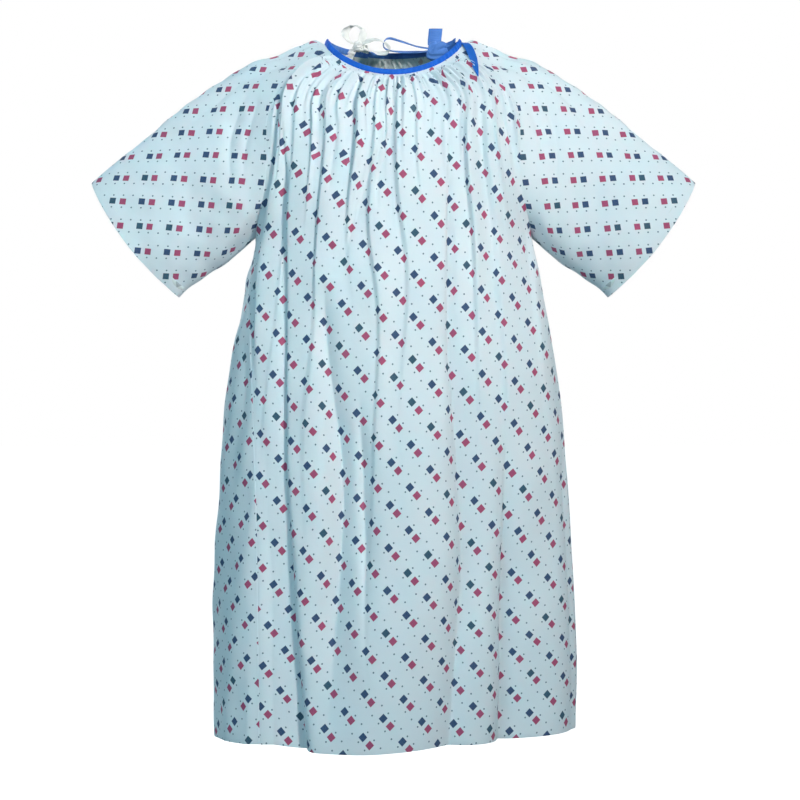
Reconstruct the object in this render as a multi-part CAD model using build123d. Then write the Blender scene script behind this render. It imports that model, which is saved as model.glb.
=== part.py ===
from build123d import *
import math
import os

# Patient gown, in millimetres, as it hangs on a wearer.
# Origin: centre of the neck opening, level with the tops of the shoulders.
# +Z is up, the front of the gown faces -Y, and the wearer's left is +X.
# Angles round the body run from +X towards +Y, so the front is at -90 degrees.

# ---------------------------------------------------------------- driving sizes
CLOTH = 2.4                # modelled thickness of one layer of gathered cloth
LAYER_STEP = 9.0           # the inner back layer lies this far inside the outer one
EDGE_GAP = 6.0             # clearance between the loose flap and the held panel
SEAM_CLEARANCE = 0.4       # degrees between panels that are sewn together

HEM_Z = -1150.0            # lower edge, level all round
UNDERARM_Z = -322.0

NECK_HALF_WIDTH = 112.0
NECK_HALF_DEPTH = 73.0
NECK_CENTRE_Y = -7.0
NECK_FRONT_DROP = 61.0     # how far the front of the neckline lies below its sides
NECK_BACK_DROP = 6.0
NECK_REACH = 130.0         # below this depth the cloth no longer follows the neckline
BINDING_WIDTH = 9.0
BINDING_PROUD = 1.0        # the binding wraps the cloth, so it stands proud of it
BINDING_DIP_START = 368.0  # from this angle its inner end dips under the outer one
BINDING_DIP = 40.0

# Body sections: height, half width, half depth, centre in y. From the underarm up they
# run wider than the gown, because the armhole takes the sides away.
BODY_SECTIONS = [
    (HEM_Z, 303.0, 165.0, -12.0),
    (-870.0, 296.0, 158.0, -10.0),
    (-592.0, 276.0, 148.0, -8.0),
    (-400.0, 245.0, 138.0, -8.0),
    (UNDERARM_Z, 229.0, 132.0, -7.0),
    (-260.0, 266.0, 130.0, -6.0),
    (-200.0, 288.0, 125.0, -4.0),
    (-120.0, 290.0, 112.0, 0.0),
    (-60.0, 272.0, 87.5, 7.5),
    (-30.0, 222.0, 71.0, 11.0),
    (-6.0, 165.0, 54.0, 12.0),
    (8.0, 130.0, 44.0, 13.0),
]

# Raglan seam between a body panel and the sleeve head: height, distance from the middle.
RAGLAN = [(UNDERARM_Z, 228.9), (-236.0, 208.0), (-110.0, 202.0), (-50.0, 172.0), (-8.4, 104.0), (8.0, 92.0)]
RAGLAN_NECK_ANGLE = 21.8   # the seam meets the neckline this far from the side
ARMHOLE_X = 222.0          # the sleeve head ends here
SHOULDER_Z = -30.0         # where the body's surface is that wide
HEAD_LOW_Z = -236.0        # the sleeve head ends where the seam nears the armhole
NECK_SHARE = 0.15          # share of the sleeve head's long side that lies on the neckline

# The wearer's right side seam turns towards the front as it falls: height, distance from
# the middle. The left one stays at the side.
RIGHT_SEAM = [(HEM_Z, 213.0), (-792.0, 219.0), (-592.0, 227.0), (-400.0, 235.0), (UNDERARM_Z, 228.9)]

# Back opening: the wearer's right panel laps over the left one.
OUTER_EDGE_X = 66.0        # free edge of the outer panel, under the neck bow
INNER_EDGE_X = -47.0       # free edge of the inner panel, under the inner bow
LAP_START = 10.0           # the inner panel is fully under this far from the outer edge,
LAP_BLEND = 56.0           # and it takes this much more to come level with the outer one
FOLD_TOP = (66.0, -150.0)  # the outer panel folds back about this line: x, z
FOLD_FOOT = (-220.0, HEM_Z)
FLAP_TOP_Z = -190.0

# The wearer's left sleeve; the right one is mirrored. Sections from the armhole to the cuff:
# share of the way, centre x and z, half height, half depth, lean of the section in degrees.
SLEEVE_SECTIONS = [
    (0.0, 240.0, -185.5, 147.0, 62.0, 0.0),
    (0.5, 331.0, -247.0, 121.0, 53.0, 37.3),
    (1.0, 429.0, -326.0, 121.0, 44.0, 37.3),
]
SLEEVE_STEPS = 36
SLEEVE_SLIT = 1.0          # half the width of the seam under the arm, in degrees

ROWS = 25                  # grid lines that a panel's surface is drawn through
COLUMNS = 29
FIT = 0.3                  # a surface may leave its grid of points by this much

# Neck tie and inner tie. Each is a flat strip: points along its middle, then its size.
TIE_WIDTH = 16.0
TIE_THICKNESS = 1.6        # two layers of binding cloth
TAPE_WIDTH = 12.0
TAPE_THICKNESS = 1.0
UPRIGHT_WIDTH = 23.0
TAIL_WIDTH = 12.0
NECK_KNOT_CENTRE = (72.0, 28.0, -4.0)
NECK_KNOT_SIZE = (30.0, 12.0, 28.0)
INNER_KNOT_CENTRE = (-61.0, 42.0, 5.0)
INNER_KNOT_SIZE = (14.0, 10.0, 14.0)
NECK_LOOP = [
    (60, 29, 0), (36, 36, 6), (12, 41, 15), (-8, 42, 20), (-17, 42, 14),
    (-17, 42, 4), (-8, 42, -2), (14, 41, -5), (38, 36, -6), (60, 29, -6),
]
NECK_UPRIGHT = [(69, 31, 6), (69, 32, 14), (70, 33, 24), (71, 33, 34)]
NECK_STRAP = [(84, 26, 2), (92, 23, 5), (99, 17, 7), (104, 9, 9)]
NECK_TAIL = [(113, -6, 13), (121, -20, 9), (129, -41, -10), (134, -60, -36), (137, -80, -66)]
INNER_UPPER = [
    (-66, 42, 9), (-78, 42, 18), (-81, 42, 30), (-72, 42, 39),
    (-60, 42, 39), (-52, 42, 31), (-54, 42, 18), (-59, 42, 9),
]
INNER_LOWER = [
    (-56, 42, 7), (-42, 38, 14), (-26, 33, 14), (-12, 28, 6),
    (-7, 27, -3), (-14, 28, -8), (-30, 33, -6), (-44, 38, 0), (-56, 42, 3),
]
INNER_TAIL = [(-66, 41, 1), (-71, 43, -5), (-75, 46, -12), (-78, 50, -20)]
INNER_STRAP = [(-56, 41, 3), (-52, 42, 2), (-48, 43, 1), (-43, 44, 0)]
UPPER_ACROSS = (0.8, 0.6, 0)   # the tape's width lies along these directions
LOWER_ACROSS = (0, 0.85, 0.53)


# ---------------------------------------------------------------- surfaces
def smooth(table, key):
    """The values of a table at key, on a smooth curve through its rows."""
    keys = [row[0] for row in table]
    key = min(max(key, keys[0]), keys[-1])
    index = max(i for i in range(len(keys) - 1) if keys[i] <= key)
    span = keys[index + 1] - keys[index]
    t = (key - keys[index]) / span
    values = []
    for column in range(1, len(table[0])):
        def slope(i):
            low, high = max(i - 1, 0), min(i + 1, len(keys) - 1)
            return (table[high][column] - table[low][column]) / (keys[high] - keys[low])
        here, there = table[index][column], table[index + 1][column]
        rise_here, rise_there = slope(index) * span, slope(index + 1) * span
        values.append(
            here * (2 * t**3 - 3 * t**2 + 1)
            + there * (3 * t**2 - 2 * t**3)
            + rise_here * (t**3 - 2 * t**2 + t)
            + rise_there * (t**3 - t**2)
        )
    return values


def ease(value):
    """0 below 0, 1 above 1, and smooth between."""
    value = min(max(value, 0), 1)
    return value * value * (3 - 2 * value)


def neck_point(angle, inset=0.0):
    """A point on the neckline."""
    turn = math.radians(angle)
    drop = NECK_FRONT_DROP if math.sin(turn) < 0 else NECK_BACK_DROP
    return Vector(
        (NECK_HALF_WIDTH - inset) * math.cos(turn),
        NECK_CENTRE_Y + (NECK_HALF_DEPTH - inset) * math.sin(turn),
        -drop * math.sin(turn) ** 2,
    )


def body_point(angle, height, inset=0.0):
    """A point on the body's surface, taken in by inset."""
    half_width, half_depth, centre_y = smooth(BODY_SECTIONS, height)
    turn = math.radians(angle)
    return Vector(
        (half_width - inset) * math.cos(turn),
        centre_y + (half_depth - inset) * math.sin(turn),
        height,
    )


def angle_at(x, height):
    """The angle, from 0 to 180, at which the body's surface has this x."""
    half_width = smooth(BODY_SECTIONS, height)[0]
    return math.degrees(math.acos(min(max(x / half_width, -1), 1)))


def raglan_angle(height):
    """How far from the side a body panel ends, where it meets a sleeve head."""
    if height < UNDERARM_Z:
        return 0.0
    return angle_at(smooth(RAGLAN, height)[0], height)


def seam_turn(height):
    """How far the wearer's right side seam has turned towards the front."""
    if height > UNDERARM_Z:
        return 0.0
    return angle_at(smooth(RIGHT_SEAM, height)[0], height)


def behind(grid, thickness):
    """The same grid of points moved by thickness, at right angles to the surface."""
    last_row, last_column = len(grid) - 1, len(grid[0]) - 1
    moved = []
    for i, line in enumerate(grid):
        new_line = []
        for j, point in enumerate(line):
            along = grid[min(i + 1, last_row)][j] - grid[max(i - 1, 0)][j]
            down = line[min(j + 1, last_column)] - line[max(j - 1, 0)]
            new_line.append(point + along.cross(down).normalized() * thickness)
        moved.append(new_line)
    return moved


def cloth(grid, thickness=CLOTH):
    """A closed solid between the surface through a grid of points and one behind it."""
    near = Face.make_surface_from_array_of_points(grid, tol=FIT)
    far = Face.make_surface_from_array_of_points(behind(grid, thickness), tol=FIT)
    faces = [near, far]
    for near_edge, far_edge in zip(near.edges(), far.edges()):
        faces.append(Face.make_surface_from_curves(near_edge, far_edge))
    solid = Solid(Shell(faces))
    return solid.fix() if not solid.is_valid else solid


def panel(limits, neck_limits, inset=None, top_z=None):
    """One body panel. limits(height) gives its first and last angle, and neck_limits
    those on the neckline. inset(x) takes the cloth in, where it lies under another."""
    inset = inset or (lambda x: 0.0)
    grid = []
    for column in range(COLUMNS):
        s = column / (COLUMNS - 1)
        line = []
        if top_z is None:
            neck_angle = neck_limits[0] + (neck_limits[1] - neck_limits[0]) * s
            neck_first = neck_point(neck_angle)
            neck = neck_point(neck_angle, inset(neck_first.X))
            start_z = neck.Z
        else:
            start_z = top_z
        for row in range(ROWS):
            t = (row / (ROWS - 1)) ** 1.4
            height = start_z + (HEM_Z - start_z) * t
            low, high = limits(height)
            angle = low + (high - low) * s
            point = body_point(angle, height)
            point = body_point(angle, height, inset(point.X))
            if top_z is None:
                low, high = limits(start_z)
                start = body_point(low + (high - low) * s, start_z)
                start = body_point(low + (high - low) * s, start_z, inset(start.X))
                pull = 1 - ease((start_z - height) / NECK_REACH)
                point = point + (neck - start) * pull
            line.append(point)
        grid.append(line)
    return grid


# ---------------------------------------------------------------- body panels
def fold_angle(height, offset):
    """The angle of the fold line at a height, moved along x by offset."""
    if height >= FOLD_TOP[1]:
        return angle_at(OUTER_EDGE_X, height)
    share = (height - FOLD_TOP[1]) / (FOLD_FOOT[1] - FOLD_TOP[1])
    return angle_at(FOLD_TOP[0] + (FOLD_FOOT[0] - FOLD_TOP[0]) * share + offset, height)


def neck_angle_at(x):
    return math.degrees(math.acos(x / NECK_HALF_WIDTH))


def build_body():
    gap = SEAM_CLEARANCE
    neck = RAGLAN_NECK_ANGLE

    def front_limits(height):
        return (-180 + raglan_angle(height) + seam_turn(height) + gap, -raglan_angle(height) - gap)

    def right_limits(height):
        return (fold_angle(height, 0), 180 - raglan_angle(height) + seam_turn(height) - gap)

    def flap_limits(height):
        return (angle_at(OUTER_EDGE_X, height), fold_angle(height, EDGE_GAP))

    def left_limits(height):
        return (raglan_angle(height) + gap, angle_at(INNER_EDGE_X, height))

    def under_lap(x):
        return LAYER_STEP * ease((OUTER_EDGE_X + LAP_START + LAP_BLEND - x) / LAP_BLEND)

    return {
        "front_panel": cloth(panel(front_limits, (-180 + neck + gap, -neck - gap))),
        "back_panel_right": cloth(panel(right_limits, (neck_angle_at(OUTER_EDGE_X), 180 - neck - gap))),
        "back_flap_right": cloth(panel(flap_limits, None, top_z=FLAP_TOP_Z)),
        "back_panel_left": cloth(panel(left_limits, (neck + gap, neck_angle_at(INNER_EDGE_X)), under_lap)),
    }


def build_sleeve_head():
    """The top of the left raglan sleeve, from its two seams with the body to the armhole."""
    neck_height = neck_point(RAGLAN_NECK_ANGLE).Z
    neck_body_angle = raglan_angle(neck_height)
    neck_corner = neck_point(RAGLAN_NECK_ANGLE)
    grid = []
    for step in range(2 * ROWS + 1):
        # from the underarm, up the front seam, over the shoulder and down the back seam
        s = step / ROWS - 1
        back = 1 if s > 0 else -1
        on_neck = abs(s) / NECK_SHARE
        if on_neck < 1:
            inner_height = neck_height * on_neck**2
            inner_angle = neck_body_angle * on_neck
            target = neck_point(RAGLAN_NECK_ANGLE * on_neck * back)
            start = body_point(inner_angle * back, inner_height)
        else:
            down = (abs(s) - NECK_SHARE) / (1 - NECK_SHARE)
            inner_height = neck_height + (HEAD_LOW_Z - neck_height) * down
            inner_angle = raglan_angle(inner_height)
            target = Vector(neck_corner.X, NECK_CENTRE_Y + back * (neck_corner.Y - NECK_CENTRE_Y), neck_height)
            start = body_point(neck_body_angle * back, neck_height)
        arch_height = SHOULDER_Z + (HEAD_LOW_Z - SHOULDER_Z) * abs(s) ** 1.5
        arch_angle = angle_at(ARMHOLE_X, arch_height)
        line = []
        for column in range(9):
            t = column / 8
            height = inner_height + (arch_height - inner_height) * t
            angle = inner_angle + (arch_angle - inner_angle) * t
            pull = (1 - t) * (1 - ease((neck_height - inner_height) / NECK_REACH))
            point = body_point(back * max(angle - SEAM_CLEARANCE * (1 - t), 0), height)
            line.append(point + (target - start) * pull)
        grid.append(line)
    return grid


# ---------------------------------------------------------------- sleeves
def build_sleeve_left():
    """One sleeve, rolled round from its seam under the arm, from the armhole to the cuff."""
    grid = []
    for step in range(SLEEVE_STEPS + 1):
        turn = math.radians(SLEEVE_SLIT + (360 - 2 * SLEEVE_SLIT) * step / SLEEVE_STEPS)
        line = []
        for row in range(9):
            x, z, half_height, half_depth, tilt = smooth(SLEEVE_SECTIONS, row / 8)
            rise = -half_height * math.cos(turn)
            lean = math.radians(tilt)
            line.append(
                Vector(
                    x + rise * math.sin(lean),
                    -half_depth * math.sin(turn),
                    z + rise * math.cos(lean),
                )
            )
        grid.append(line)
    return cloth(grid)


# ---------------------------------------------------------------- neck binding and ties
def build_binding():
    """One folded strip round the neckline. Its two ends overlap with the back panels."""
    first = neck_angle_at(OUTER_EDGE_X)
    last = 360 + neck_angle_at(INNER_EDGE_X)
    steps = 96
    grid = []
    for step in range(steps + 1):
        angle = first + (last - first) * step / steps
        under = ease((angle - BINDING_DIP_START) / BINDING_DIP)
        outward = Vector(math.cos(math.radians(angle)), math.sin(math.radians(angle)), 0)
        edge = neck_point(angle, LAYER_STEP * under) + outward * BINDING_PROUD
        line = []
        for across in (0.12, 0.4, 0.7, 1.0):
            rise = BINDING_WIDTH * across
            line.append(edge + Vector(0, 0, 0.94 * rise) - outward * 0.34 * rise)
        grid.append(line)
    return cloth(grid, CLOTH + 2 * BINDING_PROUD)


def strip(points, across, width, thickness, end_width=None):
    """A flat strip of cloth along a line of points, with its width along across."""
    end_width = end_width or width
    grid = []
    for index, place in enumerate(points):
        share = index / (len(points) - 1)
        half = Vector(across).normalized() * (width + (end_width - width) * share) / 2
        grid.append([Vector(place) - half, Vector(place), Vector(place) + half])
    return cloth(grid, thickness)


def knot(centre, size):
    """A rounded block, where two strips are tied."""
    block = Pos(*centre) * Box(*size)
    return fillet(block.edges(), 0.3 * min(size))


def build_ties():
    deep = (0, 1, 0)
    wide = (1, 0, 0)
    tie = TIE_THICKNESS
    tape = TAPE_THICKNESS
    return {
        "neck_tie_knot": knot(NECK_KNOT_CENTRE, NECK_KNOT_SIZE),
        "neck_tie_loop": strip(NECK_LOOP, deep, TIE_WIDTH, tie),
        "neck_tie_upright": strip(NECK_UPRIGHT, wide, UPRIGHT_WIDTH, 2 * tie),
        "neck_tie_strap": strip(NECK_STRAP, (0, 0, 1), TIE_WIDTH, tie),
        "neck_tie_tail": strip(NECK_TAIL, (1, 0.2, 0.2), TAIL_WIDTH, tie, 3.0),
        "inner_tie_knot": knot(INNER_KNOT_CENTRE, INNER_KNOT_SIZE),
        "inner_tie_upper_loop": strip(INNER_UPPER, UPPER_ACROSS, TAPE_WIDTH, tape),
        "inner_tie_lower_loop": strip(INNER_LOWER, LOWER_ACROSS, TAPE_WIDTH, tape),
        "inner_tie_tail": strip(INNER_TAIL, wide, TAPE_WIDTH, tape),
        "inner_tie_strap": strip(INNER_STRAP, (0, 0, 1), TAPE_WIDTH, tape),
    }


def main():
    parts = build_body()
    sleeve = build_sleeve_left()
    head = cloth(build_sleeve_head(), -CLOTH)
    parts["sleeve_left"] = sleeve
    parts["sleeve_right"] = mirror(sleeve, about=Plane.YZ)
    parts["sleeve_head_left"] = head
    parts["sleeve_head_right"] = mirror(head, about=Plane.YZ)
    parts["neck_binding"] = build_binding()
    parts.update(build_ties())
    os.makedirs("parts", exist_ok=True)
    for name, solid in parts.items():
        solid.label = name
        export_step(solid, f"parts/{name}.step")
        box = solid.bounding_box()
        print(name, round(solid.volume), [round(v) for v in box.min], [round(v) for v in box.max])


main()
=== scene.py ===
import math

import bpy
import numpy as np
from mathutils.bvhtree import BVHTree
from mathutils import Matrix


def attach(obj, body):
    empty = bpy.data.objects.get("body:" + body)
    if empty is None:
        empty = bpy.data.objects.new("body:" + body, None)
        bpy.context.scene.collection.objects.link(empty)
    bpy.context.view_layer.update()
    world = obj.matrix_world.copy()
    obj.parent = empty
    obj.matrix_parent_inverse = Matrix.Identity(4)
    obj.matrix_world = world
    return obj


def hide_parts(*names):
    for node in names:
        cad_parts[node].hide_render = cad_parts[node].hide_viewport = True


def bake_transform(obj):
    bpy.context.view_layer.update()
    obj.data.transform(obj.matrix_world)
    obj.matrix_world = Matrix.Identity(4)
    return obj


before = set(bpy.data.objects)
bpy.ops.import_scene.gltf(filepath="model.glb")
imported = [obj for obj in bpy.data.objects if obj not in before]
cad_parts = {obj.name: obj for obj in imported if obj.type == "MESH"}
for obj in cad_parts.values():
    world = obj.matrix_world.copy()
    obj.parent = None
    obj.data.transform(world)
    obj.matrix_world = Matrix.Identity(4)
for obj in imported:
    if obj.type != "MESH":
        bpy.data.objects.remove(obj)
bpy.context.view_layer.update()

# ---------------------------------------------------------------- camera
CAMERA_PLACE = (0.0108, -3.0, -0.592)
CAMERA_LENS = 81.0
CAMERA_SENSOR = 36.0


def add_camera():
    data = bpy.data.cameras.new("camera")
    data.lens = CAMERA_LENS
    data.sensor_width = CAMERA_SENSOR
    camera = bpy.data.objects.new("camera", data)
    camera.location = CAMERA_PLACE
    camera.rotation_euler = (math.radians(90), 0, 0)
    bpy.context.collection.objects.link(camera)
    bpy.context.scene.camera = camera


add_camera()

# ---------------------------------------------------------------- sizes
# These follow the CAD model, with small changes for cloth that is thin.
HEM_Z = -1.150
UNDERARM_Z = -0.322
NECK_HALF_WIDTH = 0.1125
NECK_HALF_DEPTH = 0.073
NECK_CENTRE_Y = -0.007
NECK_FRONT_DROP = 0.063
NECK_BACK_DROP = 0.012
NECK_POWER = 1.4           # the neckline falls fast from its sides and is flat in front
NECK_REACH = 0.130         # below this depth the cloth no longer follows the neckline
ROW_CROWDING = 1.35        # a panel's rows of points lie closer together near the neckline
BINDING_WIDTH = 0.009
BINDING_THICKNESS = 0.0042
BINDING_DIP_START = 368.0  # from this angle its inner end dips under the outer one
BINDING_DIP = 40.0
BINDING_LIP = 0.0012       # it covers this much of the cloth's edge,
BINDING_UP = 0.94          # and stands up and leans in by these shares of its width
BINDING_IN = 0.34

# height, half width, half depth, centre in y
BODY_SECTIONS = [
    (HEM_Z, 0.3020, 0.165, -0.012), (-1.020, 0.3030, 0.163, -0.011), (-0.842, 0.2955, 0.157, -0.010),
    (-0.692, 0.2860, 0.152, -0.009), (-0.592, 0.2780, 0.148, -0.008), (-0.492, 0.2620, 0.143, -0.008),
    (-0.400, 0.2435, 0.138, -0.008), (UNDERARM_Z, 0.2290, 0.132, -0.007), (-0.260, 0.243, 0.130, -0.006),
    (-0.200, 0.262, 0.125, -0.004), (-0.120, 0.276, 0.112, 0.0), (-0.060, 0.266, 0.0875, 0.0075),
    (-0.030, 0.222, 0.071, 0.011), (-0.006, 0.165, 0.054, 0.012), (0.008, 0.130, 0.044, 0.013),
]
# seams: height, distance from the middle
RAGLAN = [
    (UNDERARM_Z, 0.2289), (-0.236, 0.208), (-0.110, 0.202),
    (-0.050, 0.172), (-0.0084, 0.104), (0.008, 0.092),
]
RAGLAN_NECK_ANGLE = 21.8
RIGHT_SEAM = [(HEM_Z, 0.213), (-0.792, 0.219), (-0.592, 0.227), (-0.400, 0.235), (UNDERARM_Z, 0.2289)]

OUTER_EDGE_X = 0.066       # the free edges of the two back panels
INNER_EDGE_X = -0.047
LAYER_STEP = 0.009         # the inner one lies this far inside the outer one;
LAP_START = 0.010          # it starts to dip this far beyond the outer edge,
LAP_BLEND = 0.056          # and dips over this width

# the top line and the underside of the wearer's left sleeve: share of its length, x, y, z
SLEEVE_RIDGE = [
    (0.0, 0.1125, -0.007, 0.0), (0.10, 0.150, 0.002, -0.003), (0.24, 0.203, 0.005, -0.0215),
    (0.40, 0.262, 0.003, -0.046), (0.60, 0.340, 0.0, -0.101), (0.80, 0.422, 0.0, -0.163),
    (1.0, 0.5023, 0.0, -0.2298),
]
SLEEVE_UNDERSIDE = [
    (0.0, 0.2289, -0.007, UNDERARM_Z), (0.45, 0.286, -0.004, -0.369), (1.0, 0.3557, 0.0, -0.4222),
]
CUFF_CENTRE = (0.429, -0.326)
CUFF_HALF_HEIGHT = 0.121
CUFF_HALF_DEPTH = 0.044
CUFF_LEAN = 37.3
CUFF_BOW = 0.013           # the cuff's edge hangs this far beyond a straight line

CLOTH_THICKNESS = 0.0005
HEM_DEPTH = 0.022
CUFF_HEM_DEPTH = 0.018


# ---------------------------------------------------------------- curves and surfaces
def smooth(table, key):
    """The columns of a table at key, a number or an array, on a smooth curve through its rows."""
    table = np.asarray(table, float)
    keys, values = table[:, 0], table[:, 1:]
    count = len(keys)
    low = np.maximum(np.arange(count) - 1, 0)
    high = np.minimum(np.arange(count) + 1, count - 1)
    slopes = (values[high] - values[low]) / (keys[high] - keys[low])[:, None]
    key = np.clip(np.asarray(key, float), keys[0], keys[-1])
    index = np.clip(np.searchsorted(keys, key, side="right") - 1, 0, count - 2)
    span = (keys[index + 1] - keys[index])[..., None]
    t = (key - keys[index])[..., None] / span
    return (
        values[index] * (2 * t**3 - 3 * t**2 + 1)
        + values[index + 1] * (3 * t**2 - 2 * t**3)
        + slopes[index] * span * (t**3 - 2 * t**2 + t)
        + slopes[index + 1] * span * (t**3 - t**2)
    )


def ease(value):
    """0 below 0, 1 above 1, and smooth between."""
    value = np.clip(value, 0, 1)
    return value * value * (3 - 2 * value)


def downward(height, start, over):
    """0 above the height start, and 1 from a distance of over below it."""
    return ease((start - height) / over)


def neck_point(angle, inset=0.0):
    turn = np.radians(angle)
    drop = np.where(np.sin(turn) < 0, NECK_FRONT_DROP, NECK_BACK_DROP)
    return np.stack([
        (NECK_HALF_WIDTH - inset) * np.cos(turn),
        NECK_CENTRE_Y + (NECK_HALF_DEPTH - inset) * np.sin(turn),
        -drop * np.abs(np.sin(turn)) ** NECK_POWER,
    ], axis=-1)


def body_point(angle, height, inset=0.0):
    section = smooth(BODY_SECTIONS, height)
    turn = np.radians(angle)
    return np.stack([
        (section[..., 0] - inset) * np.cos(turn),
        section[..., 2] + (section[..., 1] - inset) * np.sin(turn),
        height + 0 * turn,
    ], axis=-1)


def angle_at(x, height):
    half_width = smooth(BODY_SECTIONS, height)[..., 0]
    return np.degrees(np.arccos(np.clip(x / half_width, -1, 1)))


def raglan_angle(height):
    angle = angle_at(smooth(RAGLAN, height)[..., 0], height)
    return np.where(height < UNDERARM_Z, 0.0, angle)


def seam_turn(height):
    angle = angle_at(smooth(RIGHT_SEAM, height)[..., 0], height)
    return np.where(height > UNDERARM_Z, 0.0, angle)


def neck_angle_at(x):
    return math.degrees(math.acos(x / NECK_HALF_WIDTH))


def panel(columns, rows, angle_of, neck_limits, inset=None):
    """A body panel as a grid of points, from the neckline down to the hem. angle_of gives
    the angle round the body at a share of the panel's width and a height."""
    inset = inset or (lambda x: 0.0 * x)
    s = np.linspace(0, 1, columns)[:, None]
    t = np.linspace(0, 1, rows)[None, :] ** ROW_CROWDING
    neck_angle = neck_limits[0] + (neck_limits[1] - neck_limits[0]) * s
    neck = neck_point(neck_angle, inset(neck_point(neck_angle)[..., 0]))
    start_z = neck[..., 2]
    height = start_z + (HEM_Z - start_z) * t

    def on_body(share, z):
        angle = angle_of(share, z)
        return body_point(angle, z, inset(body_point(angle, z)[..., 0]))

    pull = 1 - downward(height, start_z, NECK_REACH)
    return on_body(s, height) + (neck - on_body(s, start_z)) * pull[..., None]


def to_edge(points):
    """How far each point of a grid is from the nearer of its two side edges."""
    steps = np.linalg.norm(np.diff(points, axis=0), axis=-1)
    length = np.concatenate([np.zeros((1, points.shape[1])), np.cumsum(steps, axis=0)])
    return np.minimum(length, length[-1] - length)


def outward(points):
    """Unit vectors out of a grid of points whose columns run towards +Y round the body."""
    normal = np.cross(np.gradient(points, axis=1), np.gradient(points, axis=0))
    return normal / np.linalg.norm(normal, axis=-1, keepdims=True)


# ---------------------------------------------------------------- folds
EDGE_FADE = 0.022          # folds die out this far from a seam
EDGE_IN_BINDING = 0.0015   # the cloth's edge lies flat inside the binding this far,
GATHER_START = 0.017       # and the gathers reach their full depth over this much more
MANY_PLEATS = 400          # more than any one row has
DEPTH_SPREAD = (0.15, 1.4)    # a pleat's own depth and length, as shares of its row's,
REACH_SPREAD = (0.4, 1.5)
CREST_SPREAD = (-0.06, 0.12)  # and how far its crest's place across it differs from its row's
CREST_LIMITS = (0.10, 0.9)
SWAY = 0.16                # share of a pleat that it wanders sideways,
SWAY_HEIGHT = 0.42         # over this height,
SWAY_START = 0.05          # and it is straight this far below the neckline
WAVE_COUNT = 7             # sine waves in a random surface
# random surfaces: depth, length across and length down
SWELL = (0.004, 0.23, 0.8)
RIPPLE = (0.0016, 0.07, 0.16)
SLEEVE_SWELL = (0.0028, 0.16, 0.2)
SLEEVE_RIPPLE = (0.0010, 0.05, 0.07)


def pleat(share, crest):
    """The outline of one pleat, from 0 up to 1 at its crest and back to 0."""
    return np.where(share < crest, ease(share / crest), 1 - ease((share - crest) / (1 - crest)))


def gathers(phase, distance, depth, reach, seed, hidden, crest):
    """Pleats that run down from a gathered edge, one to each whole number of phase. Each
    has its own depth and length. Gives how far each point stands out, and how much cloth
    is folded away under the steep sides of the pleats up to there."""
    random = np.random.default_rng(seed)
    phase = phase + 0.28 * np.sin(1.7 * phase + seed) + 0.22 * np.sin(0.53 * phase + 2 * seed)
    depths = random.uniform(*DEPTH_SPREAD, MANY_PLEATS)
    reaches = random.uniform(*REACH_SPREAD, MANY_PLEATS) * reach
    crests = np.clip(crest + random.uniform(*CREST_SPREAD, MANY_PLEATS), *CREST_LIMITS)
    index = np.floor(phase).astype(int) % MANY_PLEATS
    share = phase - np.floor(phase)
    fade = 1 - ease(distance / reaches[index])
    relief = pleat(share, crests[index]) * depths[index] * depth * fade
    narrow = 0.5 * crests[index]
    inside = np.exp(-((share - narrow) / narrow) ** 2) / (narrow * math.sqrt(math.pi))
    taken = inside * np.abs(np.gradient(phase, axis=0)) * hidden * depths[index]
    taken = taken * (1 - ease(distance / (1.2 * reaches[index])))
    return relief, np.cumsum(taken, axis=0)


def crease(key, across, table, sharp=1.3):
    """A furrow along a line. Rows of the table: key, place across, depth and the widths
    on its lower and upper side."""
    line = smooth(table, key)
    offset = across - line[..., 0]
    width = np.where(offset < 0, line[..., 2], line[..., 3])
    return -np.maximum(line[..., 1], 0) * np.exp(-np.abs(offset / width) ** sharp)


def wander(a, b, seed):
    """A smooth random surface over two coordinates, about 1 high."""
    random = np.random.default_rng(seed)
    total = 0
    for _ in range(WAVE_COUNT):
        turn, phase = random.uniform(0, 2 * np.pi, 2)
        rate = random.uniform(0.6, 1.6)
        total = total + np.sin(rate * (a * np.cos(turn) + b * np.sin(turn)) * 2 * np.pi + phase)
    return total / math.sqrt(WAVE_COUNT)


def waves(size, across, down, seed):
    """A random surface with a depth and a wavelength across and down."""
    depth, width, height = size
    return depth * wander(across / width, down / height, seed)


def sway(place, below, width, seed):
    """How far pleats wander sideways, as a share of a pleat; they start straight."""
    return waves((SWAY, width, SWAY_HEIGHT), place, below, seed) * ease(below / SWAY_START)


def gathered(place, below, rows, shift):
    """Rows of pleats on one another, from the binding down."""
    folds, hidden = 0, 0
    for count, start, depth, reach, seed, taken, crest in rows:
        phase = count * (place + 1) + start + shift
        relief, away = gathers(phase, below, depth, reach, seed, taken, crest)
        folds = folds + relief
        hidden = hidden + away
    return folds * ease((below - EDGE_IN_BINDING) / GATHER_START), hidden


# ---------------------------------------------------------------- print coordinates
SHOULDER_SLOPE = 1.25      # cloth used up per metre of height, near the shoulders


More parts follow.
